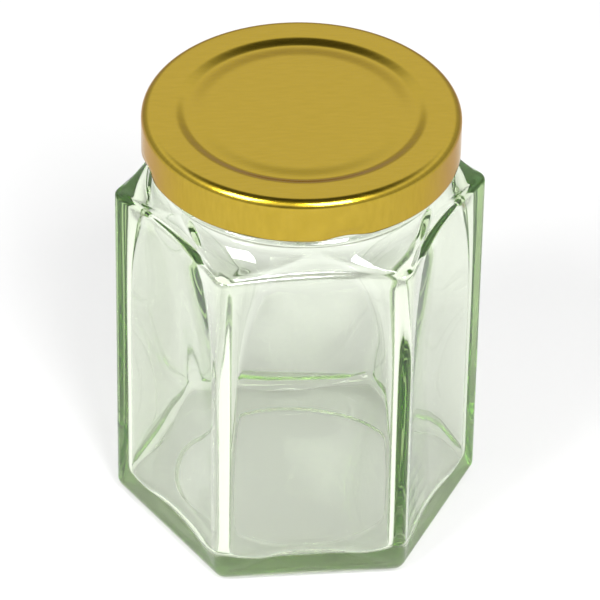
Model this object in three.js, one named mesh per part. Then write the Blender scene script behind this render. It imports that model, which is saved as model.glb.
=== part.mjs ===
// Hexagonal preserving jar of green-tinted glass with a pressed twist-off lid.
// Millimetres, +Z up. The origin is the middle of the base, on the surface that the jar stands on.
// Panels face -Y and every 60 degrees from there, so that two corners lie on the X axis.
// Angles are measured round from -Y towards +X.
import * as THREE from 'three';

// Driving dimensions of the glass body
const ACROSS_FLATS = 67;
const CORNER_RADIUS = 2.8;
const PANEL_TOP = 77.4;
const PANEL_FOOT = 3.3;
const PANEL_FOOT_RISE = 3.2;
const PANEL_HOLLOW = 1.5;
const PANEL_HOLLOW_MIDDLE = 1.7;
const HEEL_RADIUS = 3;
const HEEL_CORNER = 1;
const HEEL_LIFT = 0.3;
const SHOULDER_EDGE_RADIUS = 1.2;
const SHOULDER_TOP = 84;

// Underside: a flat bearing ring round a stepped push-up
const BEARING_INNER = 23.8;
const BEARING_OUTER = 28.6;
const PUSH_STEP = 0.8;
const PUSH_UP = 1.8;

// Hollow of the body, whose sides follow the panels
const INNER_FLAT = 30.1;
const INNER_HOLLOW = 1.6;
const INNER_CORNER = 3;
const INNER_CORNER_FOOT = 45;
const INNER_HEEL = 3.4;
const FLOOR_THICKNESS = 3.2;
const FLOOR_DOME = 1;
const INNER_SHOULDER_FOOT = 73;

// Neck and glass finish
const NECK_RADIUS = 30.1;
const MOUTH_RADIUS = 27;
const BEAD_HEIGHT = 0.7;
const BEAD_MIDDLE = 85.2;
const BEAD_HALF = 0.9;
const MOUTH_TOP = 95.8;
const THREAD_STARTS = 4;
const THREAD_HEIGHT = 0.85;
const THREAD_MIDDLE = 91.9;
const THREAD_RISE = 2;
const THREAD_SHARE = 0.78;

// Driving dimensions of the lid
const LID_TOP = 97.2;
const LID_HEIGHT = 9.8;
const LID_RADIUS = 32.7;
const LID_EDGE_RADIUS = 1.9;
const LID_SHEET = 0.4;
const LINING = 0.7;
const LINING_INNER = 25.6;
const LINING_OUTER = 31.2;
const RING_INNER = 26.1;
const MOAT_OUTER = 23.4;
const MOAT_INNER = 19.3;
const MOAT_DEPTH = 0.65;
const CENTRE_DEPTH = 0.35;
const CURL = 1.4;
const LUGS = 4;
const LUG_BEARING = 10.7;
const LUG_HALF_ANGLE = 11;
const LUG_REACH = 0.9;
const LUG_DENT = 0.5;
const LUG_LIFT = 0.4;

const SIDES = 6;
const SECTOR = 360 / SIDES;
const HALF_SECTOR = THREE.MathUtils.degToRad(SECTOR / 2);
// Places round one sixth of the jar, close together where the corner turns
const SECTOR_STEPS = [-27.9, -26.3, -22, -15, -7.5, 0, 7.5, 15, 22, 26.3, 27.9, 29, 30, 31];
const LID_STEPS = 72;

const jarAngles = [];
for (let side = 0; side < SIDES; side += 1) {
  for (const step of SECTOR_STEPS) jarAngles.push(side * SECTOR + step);
}
const lidAngles = Array.from({ length: LID_STEPS }, (_, i) => LUG_BEARING + (360 / LID_STEPS) * i);

const lerp = THREE.MathUtils.lerp;
const rad = THREE.MathUtils.degToRad;

// Radius at an angle of a six-sided outline with round corners; hollow draws each side in
function sixSided(angle, flat, corner, hollow) {
  const fromFace = THREE.MathUtils.euclideanModulo(angle + SECTOR / 2, SECTOR) - SECTOR / 2;
  const turn = Math.abs(rad(fromFace));
  const halfSide = (flat - corner) * Math.tan(HALF_SECTOR);
  if (turn < Math.atan2(halfSide, flat)) {
    const along = (flat * Math.tan(turn)) / halfSide;
    return (flat - hollow * (1 - along * along)) / Math.cos(turn);
  }
  const arcCentre = (flat - corner) / Math.cos(HALF_SECTOR);
  const aside = HALF_SECTOR - turn;
  return arcCentre * Math.cos(aside) + Math.sqrt(corner ** 2 - (arcCentre * Math.sin(aside)) ** 2);
}

// A ring gives its radius and height at an angle
const hexRing = (z, flat, corner, hollow = 0) => (angle) => [sixSided(angle, flat, corner, hollow), z];
const roundRing = (z, radius) => () => [radius, z];

// How far an angle is into its share of a circle that is cut into equal parts, from 0 to 1
const shareOf = (angle, parts) => THREE.MathUtils.euclideanModulo(angle / (360 / parts), 1);

// One row of the slanting thread ridges, which fade out at both ends
function threadRing(offset, height) {
  return (angle) => {
    const share = shareOf(angle, THREAD_STARTS);
    const onThread = share < THREAD_SHARE;
    const along = onThread ? share / THREAD_SHARE : (1 - share) / (1 - THREAD_SHARE);
    const ridge = onThread ? Math.min(1, 6 * along * (1 - along)) : 0;
    return [NECK_RADIUS + height * ridge, THREAD_MIDDLE + THREAD_RISE * (along - 0.5) + offset];
  };
}

// Joins rings into one closed skin that starts and ends at a point on the axis
function skin(name, angles, firstZ, rings, lastZ, material) {
  const count = angles.length;
  const positions = [0, 0, firstZ];
  for (const ring of rings) {
    for (const angle of angles) {
      const [radius, z] = ring(angle);
      positions.push(radius * Math.sin(rad(angle)), -radius * Math.cos(rad(angle)), z);
    }
  }
  positions.push(0, 0, lastZ);
  const last = positions.length / 3 - 1;
  const at = (row, i) => 1 + row * count + (i % count);
  const faces = [];
  for (let i = 0; i < count; i += 1) {
    faces.push(0, at(0, i + 1), at(0, i));
    for (let row = 0; row < rings.length - 1; row += 1) {
      faces.push(at(row, i), at(row, i + 1), at(row + 1, i + 1));
      faces.push(at(row, i), at(row + 1, i + 1), at(row + 1, i));
    }
    faces.push(at(rings.length - 1, i), at(rings.length - 1, i + 1), last);
  }
  const geometry = new THREE.BufferGeometry();
  geometry.setAttribute('position', new THREE.Float32BufferAttribute(positions, 3));
  geometry.setIndex(faces);
  geometry.computeVertexNormals();
  const mesh = new THREE.Mesh(geometry, material);
  mesh.name = name;
  return mesh;
}

function undersideRings() {
  const stepEdge = BEARING_INNER - 1.2;
  const dome = (r) => roundRing(lerp(PUSH_UP, PUSH_STEP, (r / stepEdge) ** 2), r);
  return [dome(8), dome(16), dome(stepEdge), roundRing(0, BEARING_INNER), roundRing(0, BEARING_OUTER)];
}

function outerWallRings() {
  const flat = ACROSS_FLATS / 2;
  const rings = [];
  for (const turn of [0, 30, 60, 90]) {
    const inset = HEEL_RADIUS * (1 - Math.sin(rad(turn)));
    const z = HEEL_LIFT + HEEL_RADIUS * (1 - Math.cos(rad(turn)));
    rings.push(hexRing(z, flat - inset, lerp(CORNER_RADIUS, HEEL_CORNER, inset / HEEL_RADIUS)));
  }
  rings.push(hexRing(PANEL_FOOT + PANEL_FOOT_RISE / 2, flat, CORNER_RADIUS, PANEL_HOLLOW * 0.6));
  rings.push(hexRing(PANEL_FOOT + PANEL_FOOT_RISE, flat, CORNER_RADIUS, PANEL_HOLLOW));
  rings.push(hexRing((PANEL_FOOT + PANEL_TOP) / 2, flat, CORNER_RADIUS, PANEL_HOLLOW_MIDDLE));
  for (const turn of [0, 30, 60]) {
    const inset = SHOULDER_EDGE_RADIUS * (1 - Math.cos(rad(turn)));
    const z = PANEL_TOP + SHOULDER_EDGE_RADIUS * Math.sin(rad(turn));
    rings.push(hexRing(z, flat - inset, CORNER_RADIUS - inset, PANEL_HOLLOW));
  }
  return rings;
}

// From the six-sided shoulder edge the outline rounds off as it climbs, steeper towards the neck
function shoulderRings() {
  const inset = SHOULDER_EDGE_RADIUS;
  const foot = PANEL_TOP + SHOULDER_EDGE_RADIUS;
  const rings = [];
  for (const t of [0.08, 0.25, 0.45, 0.65, 0.82, 0.94, 1]) {
    const climb = 0.35 * t + 0.65 * (1 - Math.sqrt(1 - t * t));
    const flat = lerp(ACROSS_FLATS / 2 - inset, NECK_RADIUS, t);
    const corner = lerp(CORNER_RADIUS - inset, NECK_RADIUS, t);
    rings.push(hexRing(lerp(foot, SHOULDER_TOP, climb), flat, corner, PANEL_HOLLOW * (1 - t)));
  }
  return rings;
}

function finishRings() {
  return [
    roundRing(BEAD_MIDDLE - BEAD_HALF / 2, NECK_RADIUS + BEAD_HEIGHT),
    roundRing(BEAD_MIDDLE + BEAD_HALF / 2, NECK_RADIUS + BEAD_HEIGHT),
    roundRing(BEAD_MIDDLE + BEAD_HALF + 0.4, NECK_RADIUS),
    threadRing(-1, 0),
    threadRing(-0.4, THREAD_HEIGHT),
    threadRing(0.4, THREAD_HEIGHT),
    threadRing(1, 0),
    roundRing(MOUTH_TOP - 1, NECK_RADIUS),
    roundRing(MOUTH_TOP - 0.3, NECK_RADIUS - 0.4),
    roundRing(MOUTH_TOP, NECK_RADIUS - 1.1),
    roundRing(MOUTH_TOP, MOUTH_RADIUS + 1),
    roundRing(MOUTH_TOP - 0.6, MOUTH_RADIUS),
  ];
}

// The hollow's corners are tight below and open slowly into the round neck
function innerCorner(z) {
  const top = SHOULDER_TOP + 1;
  const down = Math.min((top - z) / (top - INNER_CORNER_FOOT), 1);
  return lerp(MOUTH_RADIUS, INNER_CORNER, 1 - (1 - down) ** 3);
}

function hollowRings() {
  const top = SHOULDER_TOP + 1;
  const rings = [roundRing(top, MOUTH_RADIUS)];
  for (const t of [0.2, 0.4, 0.6, 0.8, 1]) {
    const z = lerp(top, INNER_SHOULDER_FOOT, t);
    const out = THREE.MathUtils.smoothstep(t, 0, 1);
    const flat = lerp(MOUTH_RADIUS, INNER_FLAT, out);
    rings.push(hexRing(z, flat, Math.min(flat, innerCorner(z)), INNER_HOLLOW * out));
  }
  for (const z of [68, 62, 54, INNER_CORNER_FOOT]) {
    rings.push(hexRing(z, INNER_FLAT, innerCorner(z), INNER_HOLLOW));
  }
  for (const turn of [0, 30, 60, 90]) {
    const inset = INNER_HEEL * (1 - Math.cos(rad(turn)));
    const share = inset / INNER_HEEL;
    const flat = INNER_FLAT - inset;
    const z = FLOOR_THICKNESS + INNER_HEEL * (1 - Math.sin(rad(turn)));
    rings.push(hexRing(z, flat, lerp(INNER_CORNER, flat, share), INNER_HOLLOW * (1 - share)));
  }
  rings.push(roundRing(FLOOR_THICKNESS + FLOOR_DOME * 0.25, 18));
  rings.push(roundRing(FLOOR_THICKNESS + FLOOR_DOME * 0.75, 9));
  return rings;
}

function jar() {
  const glass = new THREE.MeshStandardMaterial({
    name: 'green_glass', color: 0xcfe3c8, roughness: 0.04, metalness: 0, transparent: true, opacity: 0.4,
  });
  const rings = [
    ...undersideRings(), ...outerWallRings(), ...shoulderRings(), ...finishRings(), ...hollowRings(),
  ];
  return skin('jar', jarAngles, PUSH_UP, rings, FLOOR_THICKNESS + FLOOR_DOME, glass);
}

// How fully an angle is over one of the lugs, from 0 to 1
function overLug(angle) {
  const share = shareOf(angle - LUG_BEARING + 180 / LUGS, LUGS) - 0.5;
  const off = Math.abs(share) * (360 / LUGS) / LUG_HALF_ANGLE;
  return off < 1 ? 0.5 + 0.5 * Math.cos(Math.PI * off) : 0;
}

// A row of the rolled curl, which is drawn in and lifted at the lugs
const curlRing = (z, radius, reach) => (angle) => {
  const lug = overLug(angle);
  return [radius - reach * lug, z + LUG_LIFT * lug];
};

function lidUndersideRings() {
  const under = LID_TOP - LID_SHEET;
  const liningFoot = under - LINING;
  return [
    roundRing(under - CENTRE_DEPTH, MOAT_INNER),
    roundRing(under - MOAT_DEPTH, MOAT_OUTER - 0.2),
    roundRing(liningFoot, LINING_INNER),
    roundRing(liningFoot, LINING_OUTER),
    roundRing(liningFoot - 0.5, LID_RADIUS - LID_SHEET),
  ];
}

function curlRings() {
  const foot = LID_TOP - LID_HEIGHT;
  const inner = LID_RADIUS - CURL;
  return [
    roundRing(foot + CURL + 0.6, LID_RADIUS - LID_SHEET),
    curlRing(foot + CURL, inner + 0.3, LUG_REACH),
    curlRing(foot + CURL / 2, inner, LUG_REACH),
    curlRing(foot + 0.15, inner + 0.35, LUG_REACH),
    curlRing(foot, LID_RADIUS - CURL / 2, LUG_DENT),
    curlRing(foot + 0.2, LID_RADIUS - 0.2, LUG_DENT),
    curlRing(foot + CURL / 2, LID_RADIUS, LUG_DENT * 0.6),
    roundRing(foot + CURL + 1, LID_RADIUS),
  ];
}

function lidTopRings() {
  const rings = [];
  for (const turn of [0, 30, 60, 90]) {
    const inset = LID_EDGE_RADIUS * (1 - Math.cos(rad(turn)));
    rings.push(roundRing(LID_TOP - LID_EDGE_RADIUS * (1 - Math.sin(rad(turn))), LID_RADIUS - inset));
  }
  rings.push(roundRing(LID_TOP, RING_INNER));
  rings.push(roundRing(LID_TOP - MOAT_DEPTH * 0.5, (RING_INNER + MOAT_OUTER) / 2));
  rings.push(roundRing(LID_TOP - MOAT_DEPTH, MOAT_OUTER));
  rings.push(roundRing(LID_TOP - CENTRE_DEPTH, MOAT_INNER));
  return rings;
}

function lid() {
  const lacquer = new THREE.MeshStandardMaterial({
    name: 'gold_lacquer', color: 0xbaa23e, roughness: 0.38, metalness: 0.9,
  });
  const rings = [...lidUndersideRings(), ...curlRings(), ...lidTopRings()];
  const underside = LID_TOP - LID_SHEET - CENTRE_DEPTH;
  return skin('lid', lidAngles, underside, rings, LID_TOP - CENTRE_DEPTH, lacquer);
}

const preservingJar = new THREE.Group();
preservingJar.add(jar(), lid());

export default preservingJar;
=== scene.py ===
# Looks of an empty hexagonal preserving jar: pale green glass and a gold-lacquered twist-off lid.
import math
from dataclasses import dataclass

import bpy
from mathutils import Matrix, Vector


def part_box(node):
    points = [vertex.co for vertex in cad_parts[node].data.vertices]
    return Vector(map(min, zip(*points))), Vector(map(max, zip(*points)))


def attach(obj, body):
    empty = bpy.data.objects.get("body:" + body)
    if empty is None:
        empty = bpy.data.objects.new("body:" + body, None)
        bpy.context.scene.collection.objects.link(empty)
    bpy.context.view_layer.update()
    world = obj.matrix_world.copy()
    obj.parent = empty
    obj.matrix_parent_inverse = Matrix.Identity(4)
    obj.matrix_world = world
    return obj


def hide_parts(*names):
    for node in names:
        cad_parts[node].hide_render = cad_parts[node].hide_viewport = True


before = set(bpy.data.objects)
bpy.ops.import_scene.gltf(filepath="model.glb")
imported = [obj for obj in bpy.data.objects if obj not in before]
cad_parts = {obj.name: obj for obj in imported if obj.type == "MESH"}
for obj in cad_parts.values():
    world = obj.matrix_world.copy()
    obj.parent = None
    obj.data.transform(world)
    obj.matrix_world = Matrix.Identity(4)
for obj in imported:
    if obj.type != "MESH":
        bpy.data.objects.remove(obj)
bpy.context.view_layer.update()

MM = 0.001
SIDES = 6
HALF_SECTOR = math.pi / SIDES

# Sizes taken from the frame, in metres
JAR_LOW, JAR_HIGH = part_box("jar")
LID_LOW, LID_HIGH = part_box("lid")
HALF_FLATS = (JAR_HIGH[1] - JAR_LOW[1]) / 2
MOUTH_TOP = JAR_HIGH[2]
LID_RADIUS = (LID_HIGH[0] - LID_LOW[0]) / 2
LID_TOP = LID_HIGH[2]
LID_FOOT = LID_LOW[2]

# Glass body, in metres
CORNER = 2.8 * MM
HEEL = 3 * MM
HEEL_CORNER = 1 * MM
HEEL_LIFT = 0.3 * MM
PANEL_FOOT = 3.3 * MM
PANEL_FOOT_SLOPE = 0.5
PANEL_FOOT_START = 1 * MM
PANEL_FOOT_END = 9.5 * MM
PANEL_TOP = 77.4 * MM
PANEL_HOLLOW = 1.5 * MM
PANEL_HOLLOW_MIDDLE = 1.7 * MM
PANEL_EDGE_SOFTNESS = 0.04
PANEL_FOOT_SOFTNESS = 0.3 * MM
SHOULDER_EDGE = 1.2 * MM
SHOULDER_EDGE_TURN = 60
SHOULDER_FOOT_SLOPE = 0.35
SHOULDER_TOP = 84 * MM
NECK = 30.1 * MM
BEAD_MIDDLE = 85.2 * MM
BEAD_HALF = 1.1 * MM
BEAD_HEIGHT = 0.7 * MM
MOUTH = 27 * MM
MOUTH_EDGE_OUTER = 1.2 * MM
MOUTH_EDGE_INNER = 0.9 * MM
BEARING_INNER = 23.8 * MM
BEARING_OUTER = 28.6 * MM
PUSH_EDGE = 1.2 * MM
PUSH_STEP = 0.8 * MM
PUSH_UP = 1.8 * MM
INNER_FLAT = 30.1 * MM
INNER_HOLLOW = 1.6 * MM
INNER_CORNER = 3 * MM
INNER_CORNER_FOOT = 45 * MM
INNER_HEEL = 3.4 * MM
FLOOR = 3.2 * MM
FLOOR_DOME = 1 * MM
INNER_SHOULDER_FOOT = 73 * MM
INNER_SHOULDER_TOP = 85 * MM
KNURL_DEPTH = 0.03 * MM
KNURL_COUNT = 72
WAVE_HEIGHT = 0.45 * MM
WAVE_SCALE = 28
FLOOR_WAVE = 4
STIPPLE_FOOT = 0.3 * MM
STIPPLE_FADE = 0.6 * MM

THREAD_STARTS = 4
THREAD_MIDDLE = 91.9 * MM
THREAD_HALF = 1 * MM
THREAD_HEIGHT = 0.85 * MM
THREAD_RISE = 2 * MM
THREAD_SHARE = 0.78
THREAD_ROWS_REACH = 1.6
THREAD_ROWS_SPREAD = 1.3

# Lid, in metres and degrees
SHEET = 0.4 * MM
LID_EDGE = 1.9 * MM
RING_INNER = 26.1 * MM
MOAT_OUTER = 23.4 * MM
MOAT_INNER = 19.3 * MM
MOAT_DEPTH = 0.65 * MM
CENTRE_DEPTH = 0.35 * MM
CURL = 1.4 * MM
CURL_START = 60
CURL_TO_WALL = 0.7 * MM
LUG_BEARING = 10.7
LUG_HALF_ANGLE = 11
LUG_REACH = 0.9 * MM
LUG_DENT = 0.5 * MM
LUG_LIFT = 0.4 * MM
LINING_INNER = 25.6 * MM
LINING_OUTER = 31.2 * MM
LINING_DEPTH = 0.7 * MM
LINING_FILLET = 0.5 * MM

# Steps round the finished walls
JAR_STEPS = SIDES * 54
CORNER_CROWDING = 0.375
LID_STEPS = 288


# Node trees

class Flow:
    """A number's socket. Sums on it add Math nodes to its tree."""

    def __init__(self, socket):
        self.socket = socket

    def math(self, operation, *parts):
        tree = self.socket.id_data
        node = add_node(tree, "ShaderNodeMath", {"operation": operation}, dict(enumerate(parts)))
        return Flow(node.outputs[0])

    def __add__(self, other):
        return self.math("ADD", self, other)

    def __radd__(self, other):
        return self.math("ADD", other, self)

    def __sub__(self, other):
        return self.math("SUBTRACT", self, other)

    def __rsub__(self, other):
        return self.math("SUBTRACT", other, self)

    def __mul__(self, other):
        return self.math("MULTIPLY", self, other)

    def __rmul__(self, other):
        return self.math("MULTIPLY", other, self)

    def __truediv__(self, other):
        return self.math("DIVIDE", self, other)

    def __lt__(self, other):
        return self.math("LESS_THAN", self, other)

    def __abs__(self):
        return self.math("ABSOLUTE", self)

    def floor(self):
        return self.math("FLOOR", self)

    def fraction(self):
        return self.math("FRACT", self)

    def sin(self):
        return self.math("SINE", self)

    def cos(self):
        return self.math("COSINE", self)

    def tan(self):
        return self.math("TANGENT", self)

    def root(self):
        return self.math("SQRT", self)

    def rounded(self):
        return self.math("ROUND", self)

    def at_least(self, other):
        return self.math("MAXIMUM", self, other)

    def at_most(self, other):
        return self.math("MINIMUM", self, other)

    def softly_at_least(self, other, softness):
        return self.math("SMOOTH_MAX", self, other, softness)

    def softly_at_most(self, other, softness):
        return self.math("SMOOTH_MIN", self, other, softness)


def add_node(tree, kind, settings=(), values=()):
    """Adds a node: its settings first, then the values or links of its sockets."""
    node = tree.nodes.new(kind)
    for name, value in dict(settings).items():
        if name == "stops":
            ramp = node.color_ramp
            while len(ramp.elements) < len(value):
                ramp.elements.new(0.5)
            for element, (place, colour) in zip(ramp.elements, value):
                element.position = place
                element.color = (*colour, 1)
        else:
            setattr(node, name, value)
    for key, value in dict(values).items():
        socket = node.inputs[key]
        if isinstance(value, Flow):
            tree.links.new(value.socket, socket)
        elif isinstance(value, bpy.types.NodeSocket):
            tree.links.new(value, socket)
        else:
            socket.default_value = value
    return node


def choose(where, yes, no):
    """yes where the mask is 1 and no where it is 0."""
    return no + where * (yes - no)


# Profiles

@dataclass
class Row:
    """One row of a turned wall: its height, its outline and what the outline carries."""
    z: float
    flat: float
    corner: float
    hollow: float = 0
    cap: float = 0
    ridge: float = 0
    slant: float = 0
    knurl: float = 0
    wave: float = 0


def steps(count, first=0, last=1):
    """Even steps from first to last, without the first."""
    return [first + (last - first) * (i + 1) / count for i in range(count)]


def lerp(a, b, t):
    return a + (b - a) * t


def smooth(t):
    return t * t * (3 - 2 * t)


def round_row(z, radius, **more):
    return Row(z, radius, radius, **more)


def underside_rows():
    """A domed push-up with a stepped edge, and the flat ring that the jar stands on."""
    rows = [round_row(PUSH_UP, 0)]
    step_edge = BEARING_INNER - PUSH_EDGE
    for t in steps(14):
        rows.append(round_row(lerp(PUSH_UP, PUSH_STEP, t * t), step_edge * t))
    for t in steps(8):
        rows.append(round_row(PUSH_STEP * (1 - smooth(t)), lerp(step_edge, BEARING_INNER, t)))
    for t in steps(8):
        rows.append(round_row(0, lerp(BEARING_INNER, BEARING_OUTER, t), knurl=math.sin(math.pi * t)))
    return rows


def panel_hollow(z):
    t = (z - PANEL_FOOT) / (PANEL_TOP - PANEL_FOOT)
    return lerp(PANEL_HOLLOW, PANEL_HOLLOW_MIDDLE, math.sin(math.pi * min(max(t, 0), 1)))


def panel_row(z, inset=0):
    """A row of the outer panels. The cap lets the hollow deepen slowly above the panel's foot."""
    above = z - PANEL_FOOT
    eased = above + math.hypot(above, PANEL_FOOT_START)
    cap = PANEL_FOOT_SLOPE * (eased - PANEL_FOOT_START / 2) / 2
    return Row(z, HALF_FLATS - inset, CORNER - inset, hollow=panel_hollow(z), cap=cap)


def outer_wall_rows():
    rows = []
    for turn in steps(12, 0, math.pi / 2):
        inset = HEEL * (1 - math.sin(turn))
        corner = lerp(CORNER, HEEL_CORNER, inset / HEEL)
        rows.append(Row(HEEL_LIFT + HEEL * (1 - math.cos(turn)), HALF_FLATS - inset, corner))
    rows += [panel_row(z) for z in steps(22, HEEL_LIFT + HEEL, PANEL_FOOT_END)]
    rows += [panel_row(z) for z in steps(24, PANEL_FOOT_END, PANEL_TOP)]
    for turn in steps(9, 0, math.radians(SHOULDER_EDGE_TURN)):
        inset = SHOULDER_EDGE * (1 - math.cos(turn))
        rows.append(panel_row(PANEL_TOP + SHOULDER_EDGE * math.sin(turn), inset))
    return rows


def shoulder_rows():
    """From the six-sided edge the outline rounds off as it climbs, steeper towards the neck."""
    foot = PANEL_TOP + SHOULDER_EDGE
    rows = []
    for t in steps(28):
        t = math.sin(t * math.pi / 2)
        climb = lerp(1 - math.sqrt(1 - t * t), t, SHOULDER_FOOT_SLOPE)
        z = lerp(foot, SHOULDER_TOP, climb)
        flat = lerp(HALF_FLATS - SHOULDER_EDGE, NECK, t)
        corner = lerp(CORNER - SHOULDER_EDGE, NECK, t)
        rows.append(Row(z, flat, corner, hollow=PANEL_HOLLOW * (1 - t), cap=1))
    return rows


def finish_rows():
    """The neck's bead, its thread ridges and the rounded mouth."""
    rows = []
    for t in steps(10, -1, 1):
        bump = BEAD_HEIGHT * (0.5 + 0.5 * math.cos(math.pi * t))
        rows.append(round_row(BEAD_MIDDLE + BEAD_HALF * t, NECK + bump))
    for t in steps(12, -THREAD_ROWS_REACH, THREAD_ROWS_REACH):
        z = THREAD_MIDDLE + THREAD_HALF * THREAD_ROWS_SPREAD * t
        ridge = math.cos(math.pi * t / 2) ** 2 if abs(t) < 1 else 0
        slant = 1 - smooth(max(0, abs(t) - 1) / (THREAD_ROWS_REACH - 1))
        rows.append(round_row(z, NECK, ridge=ridge, slant=slant))
    for turn in steps(8, 0, math.pi / 2):
        z = MOUTH_TOP - MOUTH_EDGE_OUTER * (1 - math.sin(turn))
        rows.append(round_row(z, NECK - MOUTH_EDGE_OUTER * (1 - math.cos(turn))))
    for turn in steps(8, 0, math.pi / 2):
        z = MOUTH_TOP - MOUTH_EDGE_INNER * (1 - math.cos(turn))
        rows.append(round_row(z, MOUTH + MOUTH_EDGE_INNER * (1 - math.sin(turn))))
    return rows


def inner_corner(z):
    """The hollow's corners are tight below and open slowly into the round neck."""
    down = min((INNER_SHOULDER_TOP - z) / (INNER_SHOULDER_TOP - INNER_CORNER_FOOT), 1)
    return lerp(MOUTH, INNER_CORNER, 1 - (1 - down) ** 3)


def hollow_rows():
    """The wall is even, so that the hollow's sides follow the panels. The floor is round."""
    rows = [round_row(z, MOUTH) for z in steps(4, MOUTH_TOP - MOUTH_EDGE_INNER, INNER_SHOULDER_TOP)]
    for t in steps(20):
        out = smooth(t)
        z = lerp(INNER_SHOULDER_TOP, INNER_SHOULDER_FOOT, t)
        flat = lerp(MOUTH, INNER_FLAT, out)
        corner = min(flat, inner_corner(z))
        rows.append(Row(z, flat, corner, hollow=INNER_HOLLOW * out, cap=1, wave=out))
    for z in steps(34, INNER_SHOULDER_FOOT, FLOOR + INNER_HEEL):
        rows.append(Row(z, INNER_FLAT, inner_corner(z), hollow=INNER_HOLLOW, cap=1, wave=1))
    for turn in steps(16, 0, math.pi / 2):
        inset = INNER_HEEL * (1 - math.cos(turn))
        share = inset / INNER_HEEL
        flat = INNER_FLAT - inset
        z = FLOOR + INNER_HEEL * (1 - math.sin(turn))
        corner = lerp(INNER_CORNER, flat, share)
        rows.append(Row(z, flat, corner, hollow=INNER_HOLLOW * (1 - share), cap=1, wave=1))
    edge = INNER_FLAT - INNER_HEEL
    for t in steps(16):
        wave = lerp(1, FLOOR_WAVE, t) * (1 - t)
        rows.append(round_row(FLOOR + FLOOR_DOME * smooth(t), edge * (1 - t), wave=wave))
    return rows


@dataclass
class Hoop:
    """One row of the lid: a circle, and how far it is drawn in and lifted at the lugs."""
    z: float
    radius: float
    reach: float = 0
    lift: float = 0


def lid_underside_hoops():
    """The centre panel and its moat from below, and the soft sealing ring."""
    under = LID_TOP - SHEET
    hoops = [Hoop(under - CENTRE_DEPTH, 0), Hoop(under - CENTRE_DEPTH, MOAT_INNER / 2)]
    for t in steps(8):
        depth = lerp(CENTRE_DEPTH, MOAT_DEPTH, smooth(t))
        hoops.append(Hoop(under - depth, lerp(MOAT_INNER, MOAT_OUTER, t)))
    foot = under - LINING_DEPTH
    for t in (0, 0.5, 1):
        hoops.append(Hoop(foot, lerp(LINING_INNER, LINING_OUTER, t)))
    hoops.append(Hoop(foot - LINING_FILLET, LID_RADIUS - SHEET))
    return hoops


def lid_curl_hoops():
    """The wall's foot is rolled inwards into a small round curl."""
    middle = LID_FOOT + CURL / 2
    centre = LID_RADIUS - CURL / 2
    lining_foot = LID_TOP - SHEET - LINING_DEPTH - 2 * LINING_FILLET
    wall_foot = LID_FOOT + CURL + CURL_TO_WALL
    hoops = [Hoop(z, LID_RADIUS - SHEET) for z in steps(3, lining_foot, wall_foot)]
    for turn in steps(16, math.radians(CURL_START), math.radians(360)):
        radius = centre + CURL / 2 * math.cos(turn)
        inward = 0.5 - 0.5 * math.cos(turn)
        reach = lerp(LUG_DENT, LUG_REACH, inward)
        hoops.append(Hoop(middle + CURL / 2 * math.sin(turn), radius, reach, LUG_LIFT))
    return hoops


def lid_wall_hoops():
    """The outer wall, whose lowest third is drawn in at the lugs, and its rounded top edge."""
    foot = LID_FOOT + CURL / 2
    top = LID_TOP - LID_EDGE
    hoops = []
    for t in steps(14):
        fade = 1 - smooth(min(1, t * 3))
        hoops.append(Hoop(lerp(foot, top, t), LID_RADIUS, LUG_DENT * fade, LUG_LIFT * fade))
    for turn in steps(16, 0, math.pi / 2):
        inset = LID_EDGE * (1 - math.cos(turn))
        hoops.append(Hoop(top + LID_EDGE * math.sin(turn), LID_RADIUS - inset))
    return hoops


def lid_top_hoops():
    hoops = [Hoop(LID_TOP, r) for r in steps(4, LID_RADIUS - LID_EDGE, RING_INNER)]
    for t in steps(12):
        hoops.append(Hoop(LID_TOP - MOAT_DEPTH * smooth(t), lerp(RING_INNER, MOAT_OUTER, t)))
    for t in steps(10):
        depth = lerp(MOAT_DEPTH, CENTRE_DEPTH, smooth(t))
        hoops.append(Hoop(LID_TOP - depth, lerp(MOAT_OUTER, MOAT_INNER, t)))
    hoops += [Hoop(LID_TOP - CENTRE_DEPTH, r) for r in steps(5, MOAT_INNER, 0)]
    return hoops


# Geometry Nodes

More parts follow.
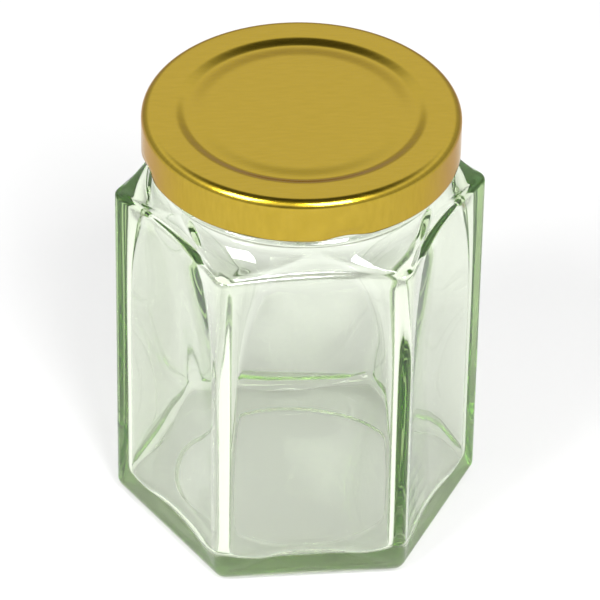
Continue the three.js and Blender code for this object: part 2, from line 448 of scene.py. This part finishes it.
class WallTree:
    """A tree that turns a profile's rows into a closed wall round the Z axis."""

    def __init__(self, name, material):
        self.tree = bpy.data.node_groups.new(name, "GeometryNodeTree")
        self.sockets = {}
        self.socket("Profile", "INPUT", "NodeSocketGeometry")
        self.socket("Wall", "OUTPUT", "NodeSocketGeometry")
        self.socket("Around", "INPUT", "NodeSocketInt")
        self.inputs = self.tree.nodes.new("NodeGroupInput")
        self.material = material
        rows = self.add("GeometryNodeAttributeDomainSize", values={
            "Geometry": self.inputs.outputs["Profile"]})
        self.rows = Flow(rows.outputs["Point Count"])
        columns = self.given("Around") + 1
        self.grid = self.add("GeometryNodeMeshGrid", values={
            "Size X": 1.0, "Size Y": 1.0, "Vertices X": columns, "Vertices Y": self.rows})
        position = self.add("GeometryNodeInputPosition").outputs[0]
        place = self.add("ShaderNodeSeparateXYZ", values={0: position})
        self.around = Flow(place.outputs["X"]) + 0.5
        self.row = ((Flow(place.outputs["Y"]) + 0.5) * (self.rows - 1)).rounded()

    def add(self, kind, settings=(), values=()):
        return add_node(self.tree, kind, settings, values)

    def socket(self, name, way, kind):
        self.sockets[name] = self.tree.interface.new_socket(name, in_out=way, socket_type=kind)

    def number(self, name):
        """A named input of the tree."""
        self.socket(name, "INPUT", "NodeSocketFloat")
        return self.given(name)

    def given(self, name):
        return Flow(self.inputs.outputs[name])

    def of_row(self, name):
        """A value of the profile's row that a point of the wall lies on."""
        profile = self.inputs.outputs["Profile"]
        named = self.add("GeometryNodeInputNamedAttribute", {"data_type": "FLOAT"}, {"Name": name})
        sample = self.add("GeometryNodeSampleIndex", {"data_type": "FLOAT", "domain": "POINT"}, {
            "Geometry": profile, "Value": named.outputs["Attribute"], "Index": self.row})
        return Flow(sample.outputs["Value"])

    def close(self, angle, radius, z):
        """Places the grid's points, joins its seam and poles, and finishes the tree."""
        place = self.add("ShaderNodeCombineXYZ", values={
            "X": radius * angle.sin(), "Y": 0 - radius * angle.cos(), "Z": z})
        moved = self.add("GeometryNodeSetPosition", values={
            "Geometry": self.grid.outputs["Mesh"], "Position": place.outputs[0]})
        joined = self.add("GeometryNodeMergeByDistance", values={
            "Geometry": moved.outputs[0], "Distance": 0.001 * MM})
        whole = self.add("GeometryNodeRealizeInstances", values={"Geometry": joined.outputs[0]})
        soft = self.add("GeometryNodeSetShadeSmooth", values={"Geometry": whole.outputs[0]})
        coated = self.add("GeometryNodeSetMaterial", values={
            "Geometry": soft.outputs[0], "Material": self.material})
        self.add("NodeGroupOutput", values={"Wall": coated.outputs[0]})


def share_of_circle(angle, parts):
    """How far an angle is into its share of a circle cut into equal parts, from 0 to 1."""
    return (angle / (2 * math.pi / parts)).fraction()


def glass_tree(material):
    """Six hollowed panels with round corners, thread ridges, and the slight waves of moulding."""
    wall = WallTree("six_sided_glass", material)
    edge_softness = wall.number("Panel Edge Softness")
    foot_softness = wall.number("Panel Foot Softness")
    thread_height = wall.number("Thread Height")
    thread_rise = wall.number("Thread Rise")
    knurl_depth = wall.number("Knurl Depth")
    knurl_count = wall.number("Knurl Count")
    wave_height = wall.number("Wave Height")
    wave_scale = wall.number("Wave Scale")
    flat, corner = wall.of_row("flat"), wall.of_row("corner")
    # Points lie closer together where a corner turns
    sector = wall.around * SIDES
    across = sector.fraction() * 2 - 1
    from_face = HALF_SECTOR * across * (1 + CORNER_CROWDING * (1 - across * across))
    angle = sector.floor() * (2 * HALF_SECTOR) + from_face
    turn = abs(from_face)
    half_side = ((flat - corner) * math.tan(HALF_SECTOR)).at_least(1e-6)
    along = flat * turn.tan() / half_side
    bow = wall.of_row("hollow") * (1 - along * along).softly_at_least(0, edge_softness)
    bow = bow.softly_at_most(wall.of_row("cap"), foot_softness).at_least(0)
    arc_centre = (flat - corner) / math.cos(HALF_SECTOR)
    aside = HALF_SECTOR - turn
    reach = arc_centre * aside.sin()
    round_part = arc_centre * aside.cos() + (corner * corner - reach * reach).at_least(0).root()
    outline = choose(along < 1, flat / turn.cos(), round_part) - bow / turn.cos()
    # Slanting thread ridges, which fade out at both ends
    share = share_of_circle(angle + 2 * math.pi, THREAD_STARTS)
    on_thread = share < THREAD_SHARE
    climb = choose(on_thread, share / THREAD_SHARE, (1 - share) / (1 - THREAD_SHARE))
    window = (on_thread * 6 * climb * (1 - climb)).at_most(1)
    radius = outline + wall.of_row("ridge") * thread_height * window
    # The hollow is uneven, as it was blown
    spot = wall.add("ShaderNodeCombineXYZ", values={
        "X": radius * angle.sin(), "Y": radius * angle.cos(), "Z": wall.of_row("z")})
    waves = wall.add("ShaderNodeTexNoise", values={
        "Vector": spot.outputs[0], "Scale": wave_scale, "Detail": 1.5, "Roughness": 0.4})
    swell = (Flow(waves.outputs[0]) - 0.5) * wave_height * wall.of_row("wave")
    # Fine radial grooves across the bearing ring
    groove = 0.5 - 0.5 * (angle * knurl_count).cos()
    z = wall.of_row("z") + wall.of_row("slant") * thread_rise * (climb - 0.5) + swell
    wall.close(angle, radius + swell, z + wall.of_row("knurl") * knurl_depth * groove)
    return wall


def lid_tree(material):
    """Round hoops that are drawn in and lifted at each lug."""
    wall = WallTree("pressed_lid", material)
    bearing = wall.number("Lug Bearing")
    half_angle = wall.number("Lug Half Angle")
    angle = wall.around * (2 * math.pi) + bearing
    share = share_of_circle(wall.around * (2 * math.pi) + math.pi / THREAD_STARTS, THREAD_STARTS) - 0.5
    off = (abs(share) * (2 * math.pi / THREAD_STARTS) / half_angle).at_most(1)
    lug = 0.5 + 0.5 * (off * math.pi).cos()
    radius = wall.of_row("radius") - wall.of_row("reach") * lug
    wall.close(angle, radius, wall.of_row("z") + wall.of_row("lift") * lug)
    return wall


def turned(name, wall, rows, around, values):
    """Makes the wall from its rows as a plain mesh with its faces outwards."""
    profile = bpy.data.meshes.new(name + "_profile")
    profile.from_pydata([(0, 0, row.z) for row in rows], [(i, i + 1) for i in range(len(rows) - 1)], [])
    for field in vars(rows[0]):
        attribute = profile.attributes.new(field, "FLOAT", "POINT")
        attribute.data.foreach_set("value", [float(getattr(row, field)) for row in rows])
    holder = bpy.data.objects.new(name + "_holder", profile)
    bpy.context.scene.collection.objects.link(holder)
    modifier = holder.modifiers.new("wall", "NODES")
    modifier.node_group = wall.tree
    modifier[wall.sockets["Around"].identifier] = around
    for key, value in values.items():
        modifier[wall.sockets[key].identifier] = float(value)
    bpy.context.view_layer.update()
    seen = holder.evaluated_get(bpy.context.evaluated_depsgraph_get())
    mesh = bpy.data.meshes.new_from_object(seen)
    mesh.name = name
    bpy.data.objects.remove(holder)
    bpy.data.meshes.remove(profile)
    piece = bpy.data.objects.new(name, mesh)
    bpy.context.scene.collection.objects.link(piece)
    if enclosed_volume(mesh) < 0:
        mesh.flip_normals()
    return piece


def enclosed_volume(mesh):
    mesh.calc_loop_triangles()
    total = 0
    for triangle in mesh.loop_triangles:
        a, b, c = (mesh.vertices[i].co for i in triangle.vertices)
        total += a.dot(b.cross(c)) / 6
    return total


# Materials

def new_material(name):
    material = bpy.data.materials.new(name)
    material.use_nodes = True
    material.node_tree.nodes.clear()
    return material, material.node_tree


def glass_material():
    """Clear soda-lime glass whose thick corners show green, with the slight waves of moulding."""
    material, tree = new_material("green_glass")
    place = add_node(tree, "ShaderNodeTexCoord").outputs["Object"]
    stretched = add_node(tree, "ShaderNodeMapping", values={"Vector": place, "Scale": (1, 1, 0.25)})
    waves = add_node(tree, "ShaderNodeTexNoise", values={
        "Vector": stretched.outputs[0], "Scale": 90.0, "Detail": 1.0, "Roughness": 0.4})
    bump = add_node(tree, "ShaderNodeBump", values={
        "Height": waves.outputs[0], "Strength": 0.25, "Distance": 0.1 * MM})
    # The surface that the jar stands on is stippled
    height = Flow(add_node(tree, "ShaderNodeSeparateXYZ", values={0: place}).outputs["Z"])
    stipple = 1 - ((height - STIPPLE_FOOT) / STIPPLE_FADE).at_least(0).at_most(1)
    glass = add_node(tree, "ShaderNodeBsdfPrincipled", values={
        "Base Color": (1, 1, 1, 1), "Roughness": stipple * 0.4, "IOR": 1.52,
        "Transmission Weight": 1.0, "Normal": bump.outputs[0]})
    tint = add_node(tree, "ShaderNodeVolumeAbsorption", values={
        "Color": (0.42, 0.64, 0.12, 1), "Density": 40.0})
    add_node(tree, "ShaderNodeOutputMaterial", values={
        "Surface": glass.outputs[0], "Volume": tint.outputs[0]})
    return material


def lacquer_material():
    """Gold lacquer over tinplate with the fine straight grain of rolled sheet."""
    material, tree = new_material("gold_lacquer")
    place = add_node(tree, "ShaderNodeTexCoord").outputs["Object"]
    along_sheet = add_node(tree, "ShaderNodeMapping", values={"Vector": place, "Scale": (1, 9, 1)})
    grain = Flow(add_node(tree, "ShaderNodeTexNoise", values={
        "Vector": along_sheet.outputs[0], "Scale": 260.0, "Detail": 3.0}).outputs[0])
    tone = add_node(tree, "ShaderNodeValToRGB", {"stops": [
        (0.3, (0.38, 0.266, 0.012)), (0.7, (0.42, 0.296, 0.019))]}, {"Fac": grain})
    bump = add_node(tree, "ShaderNodeBump", values={
        "Height": grain, "Strength": 0.05, "Distance": 0.02 * MM})
    lacquer = add_node(tree, "ShaderNodeBsdfPrincipled", values={
        "Base Color": tone.outputs[0], "Metallic": 1.0, "Roughness": 0.17 + grain * 0.1,
        "Normal": bump.outputs[0], "Specular Tint": (0.72, 0.47, 0.18, 1),
        "Coat Weight": 0.5, "Coat Roughness": 0.06})
    add_node(tree, "ShaderNodeOutputMaterial", values={"Surface": lacquer.outputs[0]})
    return material


# Object

def make_jar():
    rows = underside_rows() + outer_wall_rows() + shoulder_rows() + finish_rows() + hollow_rows()
    piece = turned("glass_body", glass_tree(glass_material()), rows, JAR_STEPS, {
        "Panel Edge Softness": PANEL_EDGE_SOFTNESS, "Panel Foot Softness": PANEL_FOOT_SOFTNESS,
        "Thread Height": THREAD_HEIGHT, "Thread Rise": THREAD_RISE,
        "Knurl Depth": KNURL_DEPTH, "Knurl Count": KNURL_COUNT,
        "Wave Height": WAVE_HEIGHT, "Wave Scale": WAVE_SCALE})
    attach(piece, "root")
    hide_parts("jar")


def make_lid():
    hoops = lid_underside_hoops() + lid_curl_hoops() + lid_wall_hoops() + lid_top_hoops()
    piece = turned("pressed_lid", lid_tree(lacquer_material()), hoops, LID_STEPS, {
        "Lug Bearing": math.radians(LUG_BEARING),
        "Lug Half Angle": math.radians(LUG_HALF_ANGLE)})
    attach(piece, "root")
    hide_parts("lid")


# Stage

VIEW_AZIMUTH = -5.9
VIEW_ELEVATION = 37.3
VIEW_ROLL = 0.97
VIEW_DISTANCE = 1.0461
VIEW_ASIDE = 0.95 * MM
VIEW_ABOVE = 38.45 * MM
LENS = 291.5
FLOOR_LEVEL = -0.05 * MM
FLOOR_HALF = 4
SOFTBOX_DISTANCE = 0.8
LIGHT_BOUNCES = 48
FRONT_HEIGHT = 8
FRONT_EDGE = 0.88
FRONT_SHARPNESS = 12
FRONT_DIMMING = 0.6
# The surround's brightness at heights from level (0) to straight overhead (1)
TENT = [(0.0, 0.75), (0.4, 0.9), (0.55, 1.65), (0.7, 1.55), (0.8, 0.6), (0.88, 0.12), (1.0, 0.06)]


def toward(azimuth, elevation):
    """Unit vector; azimuth 0 is -Y and grows towards +X, in degrees."""
    a, e = math.radians(azimuth), math.radians(elevation)
    return Vector((math.sin(a) * math.cos(e), -math.cos(a) * math.cos(e), math.sin(e)))


def make_camera():
    data = bpy.data.cameras.new("camera")
    data.lens = LENS
    data.clip_end = 20
    camera = bpy.data.objects.new("camera", data)
    bpy.context.scene.collection.objects.link(camera)
    back = toward(VIEW_AZIMUTH, VIEW_ELEVATION)
    level = Vector((0, 0, 1)).cross(back).normalized()
    lean = back.cross(level)
    roll = math.radians(VIEW_ROLL)
    right = math.cos(roll) * level + math.sin(roll) * lean
    up = back.cross(right)
    place = back * VIEW_DISTANCE + right * VIEW_ASIDE + up * VIEW_ABOVE
    turn = Matrix((right, up, back)).transposed().to_4x4()
    camera.matrix_world = Matrix.Translation(place) @ turn
    bpy.context.scene.camera = camera


def make_floor():
    mesh = bpy.data.meshes.new("floor")
    half = FLOOR_HALF
    corners = [(-half, -half), (half, -half), (half, half), (-half, half)]
    mesh.from_pydata([(x, y, FLOOR_LEVEL) for x, y in corners], [], [(0, 1, 2, 3)])
    floor = bpy.data.objects.new("floor", mesh)
    bpy.context.scene.collection.objects.link(floor)
    material, tree = new_material("white_paper")
    paper = add_node(tree, "ShaderNodeBsdfPrincipled", values={
        "Base Color": (0.36, 0.36, 0.36, 1), "Roughness": 0.9, "Specular IOR Level": 0.0,
        "Emission Color": (1, 1, 1, 1), "Emission Strength": 0.35})
    add_node(tree, "ShaderNodeOutputMaterial", values={"Surface": paper.outputs[0]})
    mesh.materials.append(material)


def make_softbox(name, azimuth, elevation, width, height, watts):
    data = bpy.data.lights.new(name, "AREA")
    data.shape = "RECTANGLE"
    data.size = width
    data.size_y = height
    data.energy = watts
    light = bpy.data.objects.new(name, data)
    bpy.context.scene.collection.objects.link(light)
    target = Vector((0, 0, LID_TOP / 2))
    way = toward(azimuth, elevation)
    light.location = target + way * SOFTBOX_DISTANCE
    light.rotation_euler = way.to_track_quat("Z", "Y").to_euler()


def make_surround():
    """A white tent round the jar, dark overhead and dimmer in front at table height."""
    world = bpy.data.worlds.new("studio")
    bpy.context.scene.world = world
    world.use_nodes = True
    tree = world.node_tree
    tree.nodes.clear()
    way = add_node(tree, "ShaderNodeTexCoord").outputs["Generated"]
    height = Flow(add_node(tree, "ShaderNodeSeparateXYZ", values={0: way}).outputs["Z"])
    opening = Flow(add_node(tree, "ShaderNodeVectorMath", {"operation": "DOT_PRODUCT"}, {
        0: way, 1: toward(VIEW_AZIMUTH, FRONT_HEIGHT)}).outputs["Value"])
    in_front = ((opening - FRONT_EDGE) * FRONT_SHARPNESS).at_least(0).at_most(1)
    stops = [(place, (level, level, level)) for place, level in TENT]
    tent = Flow(add_node(tree, "ShaderNodeValToRGB", {"stops": stops}, {"Fac": height}).outputs[0])
    shade = tent * (1 - in_front * FRONT_DIMMING)
    light = add_node(tree, "ShaderNodeBackground", values={"Strength": shade})
    add_node(tree, "ShaderNodeOutputWorld", values={"Surface": light.outputs[0]})


def make_stage():
    make_floor()
    make_surround()
    make_softbox("softbox_left", VIEW_AZIMUTH - 46, 46, 0.26, 0.38, 8)
    make_softbox("softbox_right", VIEW_AZIMUTH + 24, 46, 0.3, 0.38, 10)
    scene = bpy.context.scene
    scene.view_settings.view_transform = "Standard"
    scene.cycles.max_bounces = LIGHT_BOUNCES
    scene.cycles.transmission_bounces = LIGHT_BOUNCES
    scene.cycles.glossy_bounces = 32
    scene.cycles.transparent_max_bounces = 16


make_camera()
make_jar()
make_lid()
make_stage()
